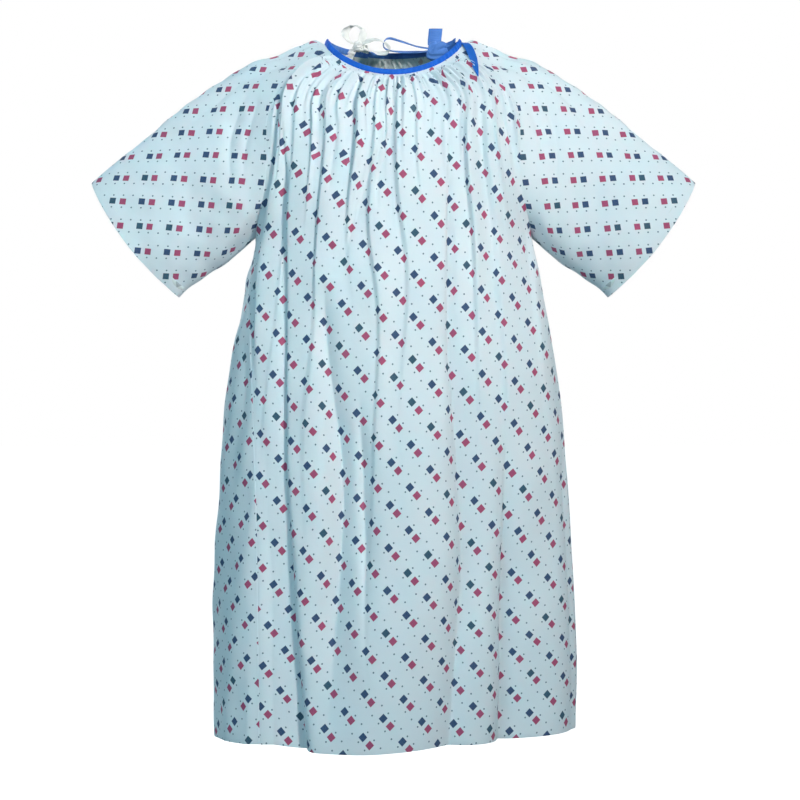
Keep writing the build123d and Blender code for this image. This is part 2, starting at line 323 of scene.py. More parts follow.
def flat_coordinates(points, plain, hidden):
    """How far across and down the cut cloth each point of a body panel is, in metres.
    Folds take up cloth across the panel; down it, the middle of the panel is the measure."""
    steps = np.diff(points, axis=0)
    across = hidden.copy()
    across[1:] += np.cumsum(np.hypot(steps[..., 0], steps[..., 1]), axis=0)
    for row in range(points.shape[1]):
        x = points[:, row, 0]
        order = np.argsort(x)
        across[:, row] -= np.interp(0.0, x[order], across[order, row])
    middle = plain[len(plain) // 2]
    steps = np.diff(middle, axis=0)
    length = np.concatenate([[0], np.cumsum(np.hypot(steps[:, 1], steps[:, 2]))])
    length -= length[-1]
    above = np.maximum(plain[..., 2] - middle[0, 2], 0)
    down = np.interp(-plain[..., 2], -middle[:, 2], length) - above * SHOULDER_SLOPE
    return across, down


def print_coordinates(across, down, frame_rows, phase):
    """Coordinates in the print's own frame: along a pair of squares, and from row to row."""
    (aa, ad), (ba, bd) = frame_rows
    return np.stack([aa * across + ad * down + phase[0], ba * across + bd * down + phase[1]], axis=-1)


# ---------------------------------------------------------------- meshes
def link(name, mesh, materials):
    for material in materials:
        mesh.materials.append(material)
    mesh.polygons.foreach_set("use_smooth", [True] * len(mesh.polygons))
    piece = bpy.data.objects.new(name, mesh)
    bpy.context.collection.objects.link(piece)
    return piece


def grid_mesh(name, points, print_at, materials):
    columns, rows = points.shape[:2]
    index = np.arange(columns * rows).reshape(columns, rows)
    corners = [index[:-1, :-1], index[:-1, 1:], index[1:, 1:], index[1:, :-1]]
    quads = np.stack(corners, axis=-1).reshape(-1, 4)
    mesh = bpy.data.meshes.new(name)
    mesh.from_pydata(points.reshape(-1, 3).tolist(), [], quads.tolist())
    layer = mesh.uv_layers.new(name="print")
    layer.data.foreach_set("uv", print_at.reshape(-1, 2)[quads.ravel()].ravel())
    return link(name, mesh, materials)


def thicken(piece, thickness, inner_material=0):
    """Gives a sheet its thickness on the inner side, and applies it."""
    solidify = piece.modifiers.new("thickness", "SOLIDIFY")
    solidify.thickness = thickness
    solidify.offset = -1
    solidify.material_offset = inner_material
    depsgraph = bpy.context.evaluated_depsgraph_get()
    mesh = bpy.data.meshes.new_from_object(piece.evaluated_get(depsgraph))
    piece.modifiers.clear()
    piece.data = mesh


def turn_under(points, print_at, depth, gap=0.0013):
    """Adds a hem to the last row of a grid: the cloth turns inwards and runs back up."""
    inward = -outward(points)[:, -1]
    down = points[:, -1] - points[:, -2]
    down = down / np.linalg.norm(down, axis=-1, keepdims=True)
    rows = [points]
    prints = [print_at]
    print_step = (print_at[:, -1] - print_at[:, -2])
    print_step = print_step / np.linalg.norm(points[:, -1] - points[:, -2], axis=-1, keepdims=True)
    last = points[:, -1]
    for turn in (45, 90, 135, 180):
        a = math.radians(turn)
        place = last + inward * gap / 2 * (1 - math.cos(a)) + down * gap / 2 * math.sin(a)
        rows.append(place[:, None])
        prints.append((print_at[:, -1] + print_step * gap * a / 2)[:, None])
    for share in (0.15, 0.4, 0.7, 1.0):
        place = last + inward * gap - down * depth * share
        rows.append(place[:, None])
        prints.append((print_at[:, -1] + print_step * (gap * 1.6 + depth * share))[:, None])
    return np.concatenate(rows, axis=1), np.concatenate(prints, axis=1)


# ---------------------------------------------------------------- materials
def srgb(red, green, blue):
    """A colour given as it is seen, from 0 to 255, as the linear one that shaders take."""
    values = []
    for part in (red, green, blue):
        part = part / 255
        values.append(part / 12.92 if part <= 0.04045 else ((part + 0.055) / 1.055) ** 2.4)
    return (*values, 1.0)


class Nodes:
    """Short calls for building the nodes of a material or of the world."""

    def __init__(self, owner, output):
        self.owner = owner
        owner.use_nodes = True
        self.tree = owner.node_tree
        self.tree.nodes.clear()
        self.output = self.tree.nodes.new(output)

    def show(self, shader):
        self.tree.links.new(shader, self.output.inputs["Surface"])
        return self.owner

    def add(self, kind, inputs=(), output=0, **settings):
        node = self.tree.nodes.new(kind)
        for key, value in settings.items():
            setattr(node, key, value)
        for key, value in dict(inputs).items():
            if isinstance(value, bpy.types.NodeSocket):
                self.tree.links.new(value, node.inputs[key])
            else:
                node.inputs[key].default_value = value
        return node.outputs[output]

    def math(self, operation, *values):
        return self.add("ShaderNodeMath", enumerate(values), operation=operation)

    def band(self, value, edge, blur):
        """1 where value is under edge, 0 above it, with a soft step."""
        return self.add("ShaderNodeMapRange", {
            "Value": value, "From Min": edge - blur, "From Max": edge + blur, "To Min": 1.0, "To Max": 0.0,
        }, interpolation_type="SMOOTHSTEP")

    def mix(self, share, first, second):
        node = self.tree.nodes.new("ShaderNodeMix")
        node.data_type = "RGBA"
        for key, value in ((0, share), (6, first), (7, second)):
            if isinstance(value, bpy.types.NodeSocket):
                self.tree.links.new(value, node.inputs[key])
            else:
                node.inputs[key].default_value = value
        return node.outputs[2]


def material_nodes(name):
    return Nodes(bpy.data.materials.new(name), "ShaderNodeOutputMaterial")


# the print: pairs of squares on a lattice, in metres along its own two directions
PRINT_STEP = (0.0500, 0.0020)      # from a pair to the next one in its row
PRINT_ROW = (-0.0030, 0.0420)      # from a row to the next
PAIR_HALF_GAP = 0.00865            # from the middle of a pair to the middle of a square
SQUARE_HALF = 0.0052
DOT_ROW = 0.0105                   # the small dots lie this far each side of a row, three to
DOT_SHIFT = 0.0085                 # each pair, and are moved this far along it
DOT_RADIUS = 0.0014
NAVY = srgb(22, 56, 100)
TEAL = srgb(22, 68, 92)
BURGUNDY = srgb(168, 56, 98)
DOT_COLOUR = srgb(54, 92, 110)
GROUND = srgb(222, 227, 231)
GROUND_DEEP = srgb(211, 223, 229)
WRONG_SIDE = srgb(204, 214, 210)
WRONG_SIDE_SHARE = 0.6             # how far the print fades on the wrong side
NAVY_SHARE = 0.80                  # the other pairs have a green-blue square
INK_COVER = (0.84, 0.2)            # least cover of a printed square, and how much it varies
DOT_COVER = 0.85
SQUARE_BLUR = 0.0003
DOT_BLUR = 0.0004


def print_marks(nodes):
    """Where the navy squares, the burgundy squares and the dots are, each from 0 to 1,
    and a number from 0 to 1 that differs from pair to pair."""
    uv = nodes.add("ShaderNodeUVMap", uv_map="print")
    split = nodes.add("ShaderNodeSeparateXYZ", {"Vector": uv}).node
    a, b = split.outputs[0], split.outputs[1]
    area = PRINT_STEP[0] * PRINT_ROW[1] - PRINT_STEP[1] * PRINT_ROW[0]
    along = nodes.math("SUBTRACT", nodes.math("MULTIPLY", a, PRINT_ROW[1] / area),
                       nodes.math("MULTIPLY", b, PRINT_ROW[0] / area))
    row = nodes.math("SUBTRACT", nodes.math("MULTIPLY", b, PRINT_STEP[0] / area),
                     nodes.math("MULTIPLY", a, PRINT_STEP[1] / area))
    along_here = nodes.math("SUBTRACT", nodes.math("FRACT", along), 0.5)
    row_here = nodes.math("SUBTRACT", nodes.math("FRACT", row), 0.5)

    def local(step, line):
        return [
            nodes.math("ADD", nodes.math("MULTIPLY", step, PRINT_STEP[axis]),
                       nodes.math("MULTIPLY", line, PRINT_ROW[axis]))
            for axis in (0, 1)
        ]

    x, y = local(along_here, row_here)
    high = nodes.math("ABSOLUTE", y)
    squares = []
    for side in (-1, 1):
        wide = nodes.math("ABSOLUTE", nodes.math("SUBTRACT", x, side * PAIR_HALF_GAP))
        squares.append(nodes.band(nodes.math("MAXIMUM", wide, high), SQUARE_HALF, SQUARE_BLUR))

    thirds = nodes.math("MULTIPLY", nodes.math("ADD", along, DOT_SHIFT / PRINT_STEP[0]), 3.0)
    third_here = nodes.math("DIVIDE", nodes.math("SUBTRACT", nodes.math("FRACT", thirds), 0.5), 3.0)
    dot_x, dot_y = local(third_here, row_here)
    reach = nodes.math("SUBTRACT", nodes.math("ABSOLUTE", dot_y), DOT_ROW)
    distance = nodes.math("SQRT", nodes.math("ADD", nodes.math("MULTIPLY", dot_x, dot_x),
                                             nodes.math("MULTIPLY", reach, reach)))
    dots = nodes.band(distance, DOT_RADIUS, DOT_BLUR)
    cell = nodes.add("ShaderNodeCombineXYZ", {0: nodes.math("FLOOR", along), 1: nodes.math("FLOOR", row)})
    number = nodes.add("ShaderNodeTexWhiteNoise", {"Vector": cell}, noise_dimensions="2D")
    return squares[0], squares[1], dots, number


THREAD_RELIEF = 0.00006
CRUMPLE_RELIEF = 0.0016
BUMP_STRENGTH = 0.6


def weave_bump(nodes, uv, thread=0.00045):
    """A plain weave: two sets of threads that pass over each other, and faint crumples."""
    scale = nodes.add("ShaderNodeVectorMath", {0: uv, 1: (math.pi / thread,) * 3}, operation="MULTIPLY")
    split = nodes.add("ShaderNodeSeparateXYZ", {"Vector": scale}).node
    warp, weft = (nodes.math("SINE", split.outputs[axis]) for axis in (0, 1))
    threads = nodes.math("MULTIPLY", warp, weft)
    crumple = nodes.add("ShaderNodeTexNoise", {
        "Vector": uv, "Scale": 34.0, "Detail": 3.0, "Roughness": 0.5,
    })
    height = nodes.math("ADD", nodes.math("MULTIPLY", threads, THREAD_RELIEF),
                        nodes.math("MULTIPLY", crumple, CRUMPLE_RELIEF))
    return nodes.add("ShaderNodeBump", {"Height": height, "Strength": BUMP_STRENGTH, "Distance": 1.0})


def cloth_shader(nodes, colour, bump, roughness=0.82, sheen=0.06, glow=0.0):
    shader = nodes.add("ShaderNodeBsdfPrincipled", {
        "Base Color": colour, "Normal": bump, "Roughness": roughness, "Sheen Weight": sheen,
        "Sheen Roughness": 0.5, "Specular IOR Level": 0.25, "Subsurface Weight": glow,
        "Subsurface Radius": (0.35, 0.85, 1.0), "Subsurface Scale": 0.0012,
    })
    return nodes.show(shader)


def printed_cloth(name, inside=False):
    nodes = material_nodes(name)
    navy, burgundy, dots, number = print_marks(nodes)
    uv = nodes.add("ShaderNodeUVMap", uv_map="print")
    blotch = nodes.add("ShaderNodeTexNoise", {"Vector": uv, "Scale": 9.0, "Detail": 2.0})
    ground = nodes.mix(blotch, GROUND, GROUND_DEEP)
    blue = nodes.mix(nodes.math("GREATER_THAN", number, NAVY_SHARE), NAVY, TEAL)
    ink = nodes.add("ShaderNodeTexNoise", {"Vector": uv, "Scale": 900.0, "Detail": 1.0})
    cover = nodes.math("ADD", INK_COVER[0], nodes.math("MULTIPLY", ink, INK_COVER[1]))
    colour = nodes.mix(nodes.math("MULTIPLY", dots, DOT_COVER), ground, DOT_COLOUR)
    colour = nodes.mix(nodes.math("MULTIPLY", navy, cover), colour, blue)
    colour = nodes.mix(nodes.math("MULTIPLY", burgundy, cover), colour, BURGUNDY)
    if inside:
        colour = nodes.mix(WRONG_SIDE_SHARE, colour, WRONG_SIDE)
    return cloth_shader(nodes, colour, weave_bump(nodes, uv), glow=0.2)


def woven_tape(name, colour, deep, sheen=0.1, thread=0.0006):
    nodes = material_nodes(name)
    uv = nodes.add("ShaderNodeUVMap", uv_map="print")
    blotch = nodes.add("ShaderNodeTexNoise", {"Vector": uv, "Scale": 60.0, "Detail": 3.0})
    bump = weave_bump(nodes, uv, thread)
    return cloth_shader(nodes, nodes.mix(blotch, colour, deep), bump, 0.7, sheen)


CLOTH_OUTSIDE = printed_cloth("printed_cloth_outside")
CLOTH_INSIDE = printed_cloth("printed_cloth_inside", inside=True)
BINDING_BLUE = woven_tape("binding_blue", srgb(26, 104, 212), srgb(18, 84, 186))
TAIL_BLUE = woven_tape("tail_blue", srgb(20, 104, 198), srgb(14, 84, 176))
BINDING_PALE = woven_tape("binding_pale", srgb(96, 144, 214), srgb(72, 116, 194))
WHITE_TAPE = woven_tape("white_tape", srgb(247, 243, 238), srgb(232, 228, 222))


# ---------------------------------------------------------------- print directions
def turned(degrees, stretch):
    """How across and down the cloth are weighed along a turned, stretched direction."""
    angle = math.radians(degrees)
    return stretch * math.cos(angle), stretch * math.sin(angle)


# The front is cut on the bias, so its print is turned and a little stretched; the back is
# the same, mirrored, and the sleeves are nearly straight.
FRONT_PRINT = (turned(45.21, 1.0156), turned(139.85, 0.9778))
BACK_PRINT = [(-across, down) for across, down in FRONT_PRINT]
SLEEVE_PRINT = (turned(170.55, 1.0095), turned(-95.04, 1.0377))
FRONT_PHASE = (0.0193, 0.0016)
BACK_PHASE = (0.011, 0.004)
SLEEVE_PHASE = (0.0057, -0.0174)

# ---------------------------------------------------------------- folds of the front
# pleats across the front, phase of the first, depth, length, seed, cloth hidden, crest
FRONT_GATHERS = [
    (50, 0.0, 0.0038, 0.070, 11, 0.0010, 0.40),
    (25, 0.3, 0.0075, 0.22, 12, 0.0036, 0.20),
    (10, 0.55, 0.0110, 0.85, 13, 0.0056, 0.14),
]
# height, half the width that the pleats spread over
FOLD_SPREAD = [
    (HEM_Z, 0.285), (-0.80, 0.275), (-0.55, 0.255), (-0.40, 0.236), (-0.30, 0.222),
    (-0.20, 0.208), (-0.11, 0.198), (-0.05, 0.165), (-0.008, 0.104),
]
# x, how far the hem is drawn up
HEM_RISE = [
    (-0.302, 0.004), (-0.240, 0.008), (-0.200, 0.009), (-0.165, 0.005), (-0.130, 0.002),
    (-0.060, 0.001), (0.0, 0.004), (0.060, 0.008), (0.120, 0.010), (0.200, 0.011), (0.302, 0.015),
]
# height, x, depth, width on the wearer's right of the line and on the left
LONG_CREASE = [
    (HEM_Z, -0.147, 0.034, 0.055, 0.010), (-1.000, -0.158, 0.026, 0.050, 0.009),
    (-0.850, -0.167, 0.017, 0.040, 0.006), (-0.700, -0.1745, 0.012, 0.024, 0.004),
    (-0.430, -0.175, 0.010, 0.016, 0.003), (-0.200, -0.176, 0.009, 0.014, 0.003),
    (-0.080, -0.178, 0.0, 0.012, 0.003),
]
LEFT_VALLEY = [
    (HEM_Z, 0.096, 0.030, 0.030, 0.036), (-1.020, 0.105, 0.032, 0.024, 0.034),
    (-0.860, 0.118, 0.033, 0.018, 0.032), (-0.720, 0.110, 0.027, 0.014, 0.030),
    (-0.600, 0.098, 0.020, 0.009, 0.026), (-0.480, 0.088, 0.012, 0.005, 0.020),
    (-0.250, 0.089, 0.009, 0.003, 0.014), (-0.100, 0.090, 0.0, 0.003, 0.012),
]
OUTER_VALLEY = [
    (HEM_Z, 0.194, 0.028, 0.016, 0.024), (-0.900, 0.197, 0.028, 0.014, 0.022),
    (-0.760, 0.193, 0.020, 0.010, 0.016), (-0.600, 0.186, 0.0, 0.010, 0.014),
]
RIGHT_VALLEY = [
    (-1.120, -0.104, 0.0, 0.030, 0.030), (-0.950, -0.096, 0.024, 0.022, 0.030),
    (-0.800, -0.086, 0.030, 0.018, 0.028), (-0.700, -0.086, 0.029, 0.016, 0.026),
    (-0.590, -0.098, 0.021, 0.016, 0.022), (-0.480, -0.110, 0.016, 0.014, 0.018),
    (-0.400, -0.108, 0.0, 0.012, 0.016),
]
SECOND_VALLEY = [
    (-1.000, -0.044, 0.0, 0.012, 0.020), (-0.850, -0.046, 0.013, 0.010, 0.020),
    (-0.700, -0.050, 0.014, 0.008, 0.018), (-0.580, -0.054, 0.0, 0.008, 0.014),
]
CHEST_CREASES = [
    [(-0.290, -0.026, 0.0, 0.003, 0.008), (-0.240, -0.024, 0.008, 0.003, 0.012),
     (-0.190, -0.012, 0.008, 0.003, 0.012), (-0.110, 0.004, 0.0, 0.003, 0.008)],
    [(-0.320, -0.062, 0.0, 0.003, 0.008), (-0.240, -0.044, 0.009, 0.003, 0.012),
     (-0.190, -0.022, 0.008, 0.003, 0.012), (-0.120, -0.006, 0.0, 0.003, 0.008)],
    [(-0.380, -0.078, 0.0, 0.004, 0.010), (-0.290, -0.062, 0.008, 0.004, 0.014),
     (-0.200, -0.042, 0.0, 0.003, 0.010)],
    [(-0.260, -0.102, 0.0, 0.003, 0.008), (-0.200, -0.096, 0.007, 0.003, 0.010),
     (-0.130, -0.084, 0.0, 0.003, 0.008)],
]
RAGLAN_CREASES = [
    [(-0.380, -0.223, 0.0, 0.010, 0.012), (-0.280, -0.221, 0.010, 0.010, 0.012),
     (-0.200, -0.214, 0.012, 0.010, 0.012), (-0.110, -0.212, 0.0, 0.010, 0.010)],
    [(-0.380, 0.223, 0.0, 0.012, 0.010), (-0.290, 0.218, 0.008, 0.012, 0.010),
     (-0.160, 0.188, 0.007, 0.010, 0.008), (-0.080, 0.150, 0.0, 0.008, 0.008)],
]
SIDE_HOLLOW = 0.030        # low on the wearer's left, the front is drawn in this far
SIDE_HOLLOW_X = 0.20
SIDE_HOLLOW_WIDTH = 0.10
LEVEL_DEPTH = 0.10         # from this far below the neckline, pleats spread evenly by width


def gather_share(points, s, half_widths):
    """Where each point lies between the panel's side edges: along the neckline it follows
    the gathers, and lower down it is level across the cloth."""
    x, z = points[..., 0], points[..., 2]
    level = 0.5 + 0.5 * x / smooth(half_widths, z)[..., 0]
    below = points[:, :1, 2] - z
    return s + (level - s) * ease(below / LEVEL_DEPTH)


def front_folds(points, s):
    """How far the front stands out from its plain shape, and the cloth hidden in its pleats."""
    x, z = points[..., 0], points[..., 2]
    below = points[:, :1, 2] - z
    place = gather_share(points, s, FOLD_SPREAD)
    folds, hidden = gathered(place, below, FRONT_GATHERS, sway(place, below, 0.45, 23))
    for table in (LONG_CREASE, LEFT_VALLEY, OUTER_VALLEY, RIGHT_VALLEY, SECOND_VALLEY, *RAGLAN_CREASES):
        folds += crease(z, x, table)
    for table in CHEST_CREASES:
        folds += crease(z, x, table, 1.0)
    low = downward(z, -0.40, 0.6)
    folds += waves(SWELL, x, z, 21) * low
    folds += waves(RIPPLE, x, z, 22) * downward(z, -0.12, 0.2)
    folds -= SIDE_HOLLOW * low * np.exp(-((x - SIDE_HOLLOW_X) / SIDE_HOLLOW_WIDTH) ** 2)
    return folds * ease(to_edge(points) / EDGE_FADE), hidden


def hem_rise(points):
    """How far the lowest part of the body is drawn up, from side to side."""
    x, z = points[..., 0], points[..., 2]
    return smooth(HEM_RISE, x)[..., 0] * downward(z, -0.85, 0.30)


def body_cloth(name, plain, folds, hidden, frame_rows, phase):
    """A panel of the body from its plain shape and its folds, hemmed and printed."""
    points = plain + outward(plain) * folds[..., None]
    across, down = flat_coordinates(points, plain, hidden)
    points[..., 2] += hem_rise(plain)
    print_at = print_coordinates(across, down, frame_rows, phase)
    points, print_at = turn_under(points, print_at, HEM_DEPTH)
    piece = grid_mesh(name, points, print_at, (CLOTH_OUTSIDE, CLOTH_INSIDE))
    thicken(piece, CLOTH_THICKNESS, 1)
    return piece


def build_front():
    columns, rows = 400, 280
    s = np.linspace(0, 1, columns)[:, None]
    neck = RAGLAN_NECK_ANGLE

    def angle_of(share, height):
        half_width = smooth(BODY_SECTIONS, height)[..., 0]
        raglan = smooth(RAGLAN, height)[..., 0]
        above = height > UNDERARM_Z
        right = np.where(above, raglan, smooth(RIGHT_SEAM, height)[..., 0])
        left = np.where(above, raglan, half_width)
        x = (left + right) * (0.5 + 0.5 * np.sin(np.pi * (share - 0.5))) - right
        return -angle_at(x, height)

    plain = panel(columns, rows, angle_of, (-180 + neck, -neck))
    folds, hidden = front_folds(plain, s)
    piece = body_cloth("front_cloth", plain, folds, hidden, FRONT_PRINT, FRONT_PHASE)
    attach(piece, "body")
    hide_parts("front_panel")
    return piece


# ---------------------------------------------------------------- back panels
BACK_PLEATS = 34           # fine pleats across each back panel
HANGING_FOLD_DEPTH = 0.0065
HANGING_FOLD_WIDTH = 0.036
UNDER_LAP_RELIEF = 0.003   # the inner panel's folds stay under the outer one
# share of the fine pleats, depth, length, cloth hidden, crest
BACK_GATHERS = [
    (1.0, 0.0034, 0.08, 0.0010, 0.45),
    (0.5, 0.0065, 0.25, 0.0040, 0.3),
    (0.25, 0.0085, 0.80, 0.0060, 0.25),
]


def back_folds(points, s, seed):
    z = points[..., 2]
    below = points[:, :1, 2] - z
    rows = [
        (BACK_PLEATS * share, 0.3 * level, depth, reach, seed + level, taken, crest)
        for level, (share, depth, reach, taken, crest) in enumerate(BACK_GATHERS)
    ]
    folds, hidden = gathered(s, below, rows, sway(s, below, 0.5, seed + 9))
    low = downward(z, -0.35, 0.6)
    across = np.cumsum(np.linalg.norm(np.gradient(points, axis=0), axis=-1), axis=0)
    hanging = np.sin(across / HANGING_FOLD_WIDTH + 2.2 * np.sin(z / 0.5) + seed)
    folds += HANGING_FOLD_DEPTH * hanging * low
    folds += waves(RIPPLE, across, z, seed + 3) * downward(z, -0.12, 0.2)
    return folds * ease(to_edge(points) / EDGE_FADE), hidden


def back_panel(name, angle_of, neck_limits, inset, seed):
    columns, rows = 190, 230
    s = np.linspace(0, 1, columns)[:, None]
    plain = panel(columns, rows, angle_of, neck_limits, inset)
    folds, hidden = back_folds(plain, s, seed)
    if inset:
        folds = np.minimum(folds, UNDER_LAP_RELIEF)
    return body_cloth(name, plain, folds, hidden, BACK_PRINT, BACK_PHASE)


def build_backs():
    neck = RAGLAN_NECK_ANGLE

    def right_angle(share, height):
        first = angle_at(OUTER_EDGE_X, height)
        return first + (180 - raglan_angle(height) + seam_turn(height) - first) * share

    def left_angle(share, height):
        first = raglan_angle(height)
        return first + (angle_at(INNER_EDGE_X, height) - first) * share

    def under_lap(x):
        return LAYER_STEP * ease((OUTER_EDGE_X + LAP_START + LAP_BLEND - x) / LAP_BLEND)

    right = back_panel("back_right_cloth", right_angle, (neck_angle_at(OUTER_EDGE_X), 180 - neck),
                       None, 31)
    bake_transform(right)
    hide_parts("back_panel_right", "back_flap_right")
    left = back_panel("back_left_cloth", left_angle, (neck, neck_angle_at(INNER_EDGE_X)),
                      under_lap, 41)
    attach(left, "body")
    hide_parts("back_panel_left")


# ---------------------------------------------------------------- sleeves
SLEEVE_NECK_SHARE = 0.24   # share of half the sleeve's seam that lies on the neckline
SLEEVE_CREASES = [
    [(-0.215, 0.395, 0.0, 0.020, 0.020), (-0.155, 0.330, 0.005, 0.012, 0.022),
     (-0.075, 0.270, 0.0, 0.010, 0.020)],
    [(-0.260, 0.262, 0.0, 0.010, 0.014), (-0.190, 0.268, 0.006, 0.008, 0.014),
     (-0.140, 0.262, 0.005, 0.007, 0.012), (-0.080, 0.236, 0.0, 0.006, 0.010)],
    [(-0.250, 0.245, 0.0, 0.008, 0.010), (-0.170, 0.240, 0.005, 0.007, 0.010),
     (-0.090, 0.220, 0.0, 0.006, 0.008)],
]
LEAN = math.radians(CUFF_LEAN)
SLEEVE_AXIS = (math.cos(LEAN), -math.sin(LEAN))
SLEEVE_CROSS = (-math.sin(LEAN), -math.cos(LEAN))
# fine and wide pleats: number, phase, depth, length, seed, cloth hidden, crest
SLEEVE_GATHERS = [(26, 100, 0.0028, 0.07, 51, 0.0010, 0.45), (13, 50.4, 0.0060, 0.17, 52, 0.0035, 0.3)]


def raglan_seam(share, side):
    """Points of the sleeve's inner edge: share runs from the neck's side to the underarm,
    and side is -1 in front and 1 behind."""
    on_neck = neck_point(side * RAGLAN_NECK_ANGLE * np.clip(share / SLEEVE_NECK_SHARE, 0, 1))
    neck = neck_point(side * RAGLAN_NECK_ANGLE)
    start_z = neck[2]
    along = np.clip((share - SLEEVE_NECK_SHARE) / (1 - SLEEVE_NECK_SHARE), 0, 1)
    height = start_z + (UNDERARM_Z - start_z) * along
    start = body_point(side * raglan_angle(start_z), start_z)
    pull = 1 - downward(height, start_z, NECK_REACH)
    on_seam = body_point(side * raglan_angle(height), height) + (neck - start) * pull[..., None]
    return np.where((share < SLEEVE_NECK_SHARE)[..., None], on_neck, on_seam)


def sleeve_points(around, along):
    """The wearer's left sleeve, from its underarm seam up the back, over the top and down the
    front. It fills in between its seam with the body, its top line, its cuff and its underside."""
    w = np.linspace(-1, 1, around)
    t = np.linspace(0, 1, along)[None, :, None]
    share = np.abs(w)
    seam = np.where((w > 0)[:, None], raglan_seam(share, -1), raglan_seam(share, 1))[:, None]
    rise = CUFF_HALF_HEIGHT * np.cos(np.pi * share)
    bow = CUFF_BOW * np.sin(np.pi * share) ** 2
    cuff = np.stack([
        CUFF_CENTRE[0] - rise * SLEEVE_CROSS[0] + bow * SLEEVE_AXIS[0],
        -CUFF_HALF_DEPTH * np.sin(np.pi * w),
        CUFF_CENTRE[1] - rise * SLEEVE_CROSS[1] + bow * SLEEVE_AXIS[1],
    ], axis=-1)[:, None]
    ridge = smooth(SLEEVE_RIDGE, t[..., 0])
    under = smooth(SLEEVE_UNDERSIDE, t[..., 0])
    top_blend = (np.cos(np.pi * share / 2) ** 2)[:, None, None]
    middle, last = around // 2, around - 1
    ridge_line = (1 - t) * seam[middle] + t * cuff[middle]
    under_line = (1 - t) * seam[last] + t * cuff[last]
    filled = (1 - t) * seam + t * cuff
    filled = filled + top_blend * (ridge - ridge_line) + (1 - top_blend) * (under - under_line)
    return filled, w


def sleeve_folds(points, w):
    x, z = points[..., 0], points[..., 2]
    w = w[:, None] + 0 * x
    distance = np.linalg.norm(points - points[:, :1], axis=-1)
    near_neck = 1 - ease((np.abs(w) - SLEEVE_NECK_SHARE) / 0.06)
    relief, away = 0, 0
    for count, start, depth, reach, seed, taken, crest in SLEEVE_GATHERS:
        pleats, cloth = gathers(count * w + start, distance, depth, reach, seed, taken, crest)
        relief = relief + pleats
        away = away + cloth
    folds = relief * near_neck * ease((distance - EDGE_IN_BINDING) / GATHER_START)
    hidden = np.cumsum(np.diff(away, axis=0, prepend=0) * near_neck, axis=0)
    front = np.where(points[..., 1] < 0, 1.0, 0.6)
    for table in SLEEVE_CREASES:
        folds += crease(z, x, table) * front
    inner = ease(distance / 0.05)
    folds += waves(SLEEVE_SWELL, x, z, 61) * inner
    folds += waves(SLEEVE_RIPPLE, x, z, 62) * inner
    return folds * ease(distance / 0.006) * (1 - 0.6 * ease((x - 0.36) / 0.14)), hidden


def sleeve_flat(points, middle, hidden):
    """The sleeve's points unrolled onto the plane of its front: x and z."""
    axis = points[..., 0] * SLEEVE_AXIS[0] + points[..., 2] * SLEEVE_AXIS[1]
    cross = points[..., 0] * SLEEVE_CROSS[0] + points[..., 2] * SLEEVE_CROSS[1]
    y = points[..., 1]
    steps = np.hypot(np.diff(axis, axis=1), np.diff(y, axis=1))
    along = np.zeros_like(axis)
    along[:, :-1] = -np.cumsum(steps[:, ::-1], axis=1)[:, ::-1]
    along += axis[:, -1:]
    steps = np.hypot(np.diff(cross, axis=0), np.diff(y, axis=0))
    round_it = hidden.copy()
    round_it[1:] += np.cumsum(steps, axis=0)
    quarter = middle + middle // 2
    round_it += cross[quarter] - round_it[quarter]
    x, z = (along * SLEEVE_AXIS[axis] + round_it * SLEEVE_CROSS[axis] for axis in (0, 1))
    return x, z


def build_sleeves():
    """Both sleeves, the right one mirrored; gives back the left one."""
    around, along = 281, 150
    plain, w = sleeve_points(around, along)
    folds, hidden = sleeve_folds(plain, w)
    points = plain + outward(plain[::-1])[::-1] * folds[..., None]
    x, z = sleeve_flat(points, around // 2, hidden)
    print_at = print_coordinates(x, -z, SLEEVE_PRINT, SLEEVE_PHASE)
    points, print_at = turn_under(points[::-1], print_at[::-1], CUFF_HEM_DEPTH)
    for side, name in ((-1, "right"), (1, "left")):
        placed = points * np.array([side, 1, 1])
        at = print_at
        if side < 0:
            placed, at = placed[::-1], print_at[::-1]
        piece = grid_mesh(f"sleeve_cloth_{name}", placed, at, (CLOTH_OUTSIDE, CLOTH_INSIDE))
        thicken(piece, CLOTH_THICKNESS, 1)
        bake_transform(piece)
        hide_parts(f"sleeve_head_{name}", f"sleeve_{name}")
    return piece


